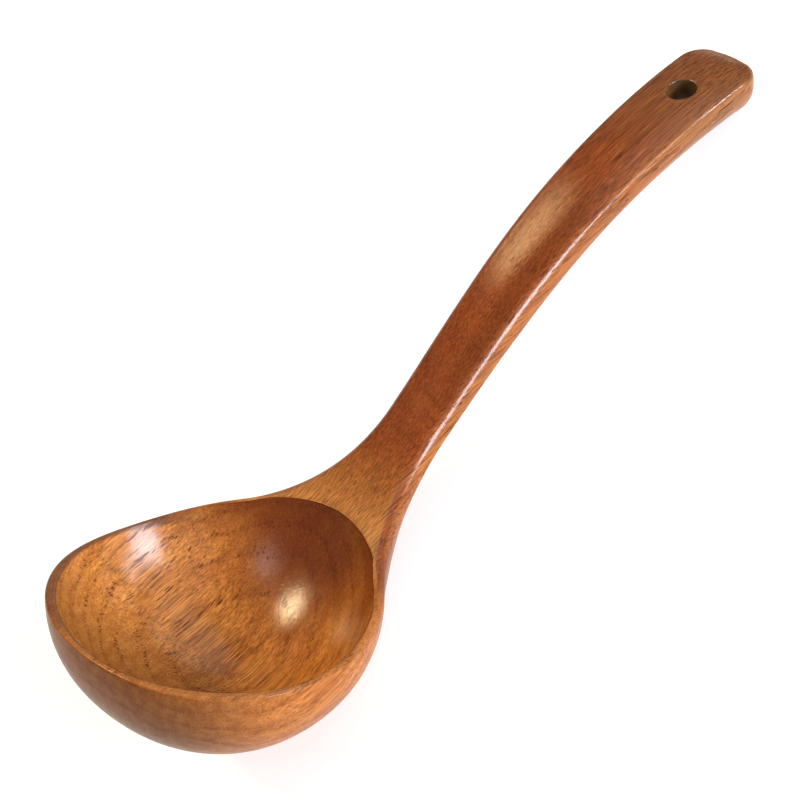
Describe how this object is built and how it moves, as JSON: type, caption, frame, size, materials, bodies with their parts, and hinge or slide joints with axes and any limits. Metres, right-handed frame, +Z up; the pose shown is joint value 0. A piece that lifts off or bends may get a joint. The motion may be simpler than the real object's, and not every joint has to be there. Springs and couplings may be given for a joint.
{
  "type": "wooden ladle",
  "caption": "Carved wooden ladle with a deep round bowl, an arched flat-topped handle and a round hanging hole near the handle's end.",
  "frame": {"origin": "centre of the bounding box's base, on the table that the ladle lies on with the underside of its bowl and of its handle's end", "axes": "+X from the bowl towards the handle's end, +Z up from the table, and Y across the ladle, which is mirror-symmetric in Y"},
  "size_m": [0.2334, 0.082, 0.0556],
  "materials": {
    "wood": "clear gloss lacquer over orange-brown hardwood"
  },
  "bodies": {
    "root": {"ladle": "wood"}
  },
  "joints": []
}
